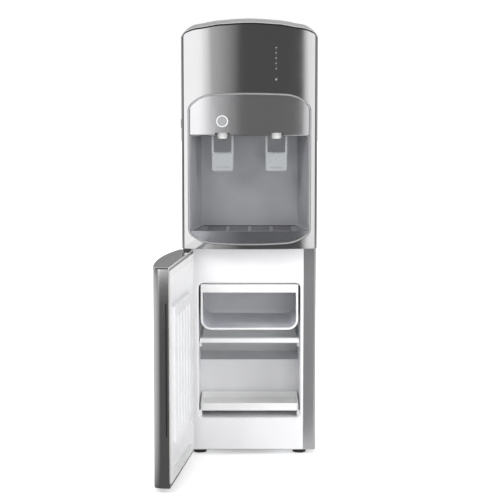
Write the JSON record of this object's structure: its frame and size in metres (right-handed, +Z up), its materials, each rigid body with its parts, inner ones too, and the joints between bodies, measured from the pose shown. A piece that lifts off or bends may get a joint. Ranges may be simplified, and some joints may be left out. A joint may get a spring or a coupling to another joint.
{
  "type": "two-tap water cooler with a lower refrigerator",
  "caption": "Tall floor-standing water cooler: convex silver front with a dispensing recess above, a bottle well on top, and a small refrigerator below with its door open.",
  "frame": {"origin": "on the floor, in the middle of the cabinet's footprint, the bowed front panel, the open door and the rear condenser left out", "axes": "+X to the right seen from the front, +Y from front to back, +Z up"},
  "size_m": [0.3705, 0.634, 1.049],
  "materials": {
    "silver_gloss": "high-gloss metallic silver",
    "silver_grey": "satin metallic grey",
    "housing_silver": "gloss metallic silver",
    "bezel_grey": "gloss dark silver",
    "recess_grey": "matte grey",
    "tray_grey": "satin grey",
    "lever_silver": "satin silver",
    "button_grey": "satin grey",
    "lens": "clear gloss",
    "white_plastic": "satin white",
    "gasket": "matte pale grey",
    "evaporator": "satin",
    "shelf_glass": "clear",
    "foam": "matte foam",
    "grey_sheet": "matte grey",
    "zinc": "zinc-coated",
    "stainless": "brushed",
    "copper": "bare copper",
    "black_enamel": "semi-gloss black",
    "black_plastic": "matte black",
    "black_rubber": "matte black",
    "clear_hose": "milky silicone",
    "board": "lacquered board"
  },
  "bodies": {
    "cabinet": {"alcove_shell": "recess_grey", "back_panel": "grey_sheet", "back_screws": "zinc", "base_pan": "zinc", "cold_tank": "stainless", "cold_tank_insulation": "foam", "cold_tank_lid": "white_plastic", "compressor": "black_enamel", "compressor_grommets": "black_rubber", "condenser": "black_enamel", "condenser_clips": "black_plastic", "cord_gland": "black_plastic", "drain_outlet": "white_plastic", "feet": "black_plastic", "freezer_box": "evaporator", "freezer_frame": "white_plastic", "fridge_foam": "foam", "fridge_liner": "white_plastic", "front_panel": "silver_gloss", "hoses": "clear_hose", "hot_tank": "stainless", "hot_tank_jacket": "foam", "indicator_board": "board", "indicator_lenses": "lens", "lever_pins": "stainless", "lock_ring": "lever_silver", "lower_hinge": "zinc", "recess_bezel": "bezel_grey", "refrigerant_lines": "copper", "service_deck": "zinc", "side_panel_left": "silver_grey", "side_panel_right": "silver_grey", "spouts": "white_plastic", "switch_cases": "black_plastic", "tank_deck": "zinc", "tap_housing": "housing_silver", "tap_valves": "white_plastic", "thermostat": "black_plastic", "top_cover": "housing_silver", "upper_hinge": "zinc"},
    "door": {"door_shell": "silver_grey", "door_liner": "white_plastic", "door_gasket": "gasket", "door_foam": "foam", "door_bushes": "white_plastic"},
    "shelf": {"shelf_glass": "shelf_glass", "shelf_trim": "white_plastic"},
    "food_tray": {"lower_tray": "white_plastic"},
    "tray": {"drip_tray": "tray_grey"},
    "grille": {"drip_grille": "tray_grey"},
    "hot_lever": {"lever_hot": "lever_silver"},
    "cold_lever": {"lever_cold": "lever_silver"},
    "button": {"lock_button": "button_grey"},
    "collar": {"bottle_collar": "white_plastic"},
    "cap": {"drain_cap": "black_plastic"},
    "hot_rocker": {"rocker_hot": "black_plastic"},
    "cold_rocker": {"rocker_cold": "black_plastic"},
    "knob": {"thermostat_knob": "button_grey"}
  },
  "joints": [
    {"name": "door_hinge", "type": "hinge", "parent": "cabinet", "child": "door", "pos_m": [-0.151, -0.1615, 0.25], "axis": [0, 0, -1], "range_deg": [-97.5, 15]},
    {"name": "shelf_slide", "type": "slide", "parent": "cabinet", "child": "shelf", "axis": [0, -1, 0], "range_m": [0, 0.19]},
    {"name": "food_tray_slide", "type": "slide", "parent": "cabinet", "child": "food_tray", "axis": [0, -1, 0], "range_m": [0, 0.11]},
    {"name": "drip_tray_slide", "type": "slide", "parent": "cabinet", "child": "tray", "axis": [0, -1, 0], "range_m": [0, 0.12]},
    {"name": "grille_lift", "type": "slide", "parent": "tray", "child": "grille", "axis": [0, 0, 1], "range_m": [0, 0.05]},
    {"name": "hot_lever_push", "type": "hinge", "parent": "cabinet", "child": "hot_lever", "pos_m": [-0.0635, -0.1485, 0.7895], "axis": [1, 0, 0], "range_deg": [0, 12], "stiffness_Nm_per_rad": 0.4, "springref_deg": -5.73},
    {"name": "cold_lever_push", "type": "hinge", "parent": "cabinet", "child": "cold_lever", "pos_m": [0.0635, -0.1485, 0.7895], "axis": [1, 0, 0], "range_deg": [0, 12], "stiffness_Nm_per_rad": 0.4, "springref_deg": -5.73},
    {"name": "button_press", "type": "slide", "parent": "cabinet", "child": "button", "axis": [0, 1, 0], "range_m": [0, 0.0025], "stiffness_N_per_m": 300, "springref_m": -0.002},
    {"name": "collar_lift", "type": "slide", "parent": "cabinet", "child": "collar", "axis": [0, 0, 1], "range_m": [0, 0.08]},
    {"name": "cap_pull", "type": "slide", "parent": "cabinet", "child": "cap", "axis": [0, 1, 0], "range_m": [0, 0.04]},
    {"name": "hot_rocker_tilt", "type": "hinge", "parent": "cabinet", "child": "hot_rocker", "pos_m": [-0.062, 0.1415, 0.886], "axis": [1, 0, 0], "range_deg": [0, 16]},
    {"name": "cold_rocker_tilt", "type": "hinge", "parent": "cabinet", "child": "cold_rocker", "pos_m": [-0.096, 0.1415, 0.886], "axis": [1, 0, 0], "range_deg": [0, 16]},
    {"name": "knob_turn", "type": "hinge", "parent": "cabinet", "child": "knob", "pos_m": [-0.159, -0.0825, 0.797], "axis": [-1, 0, 0], "range_deg": [0, 270]}
  ]
}
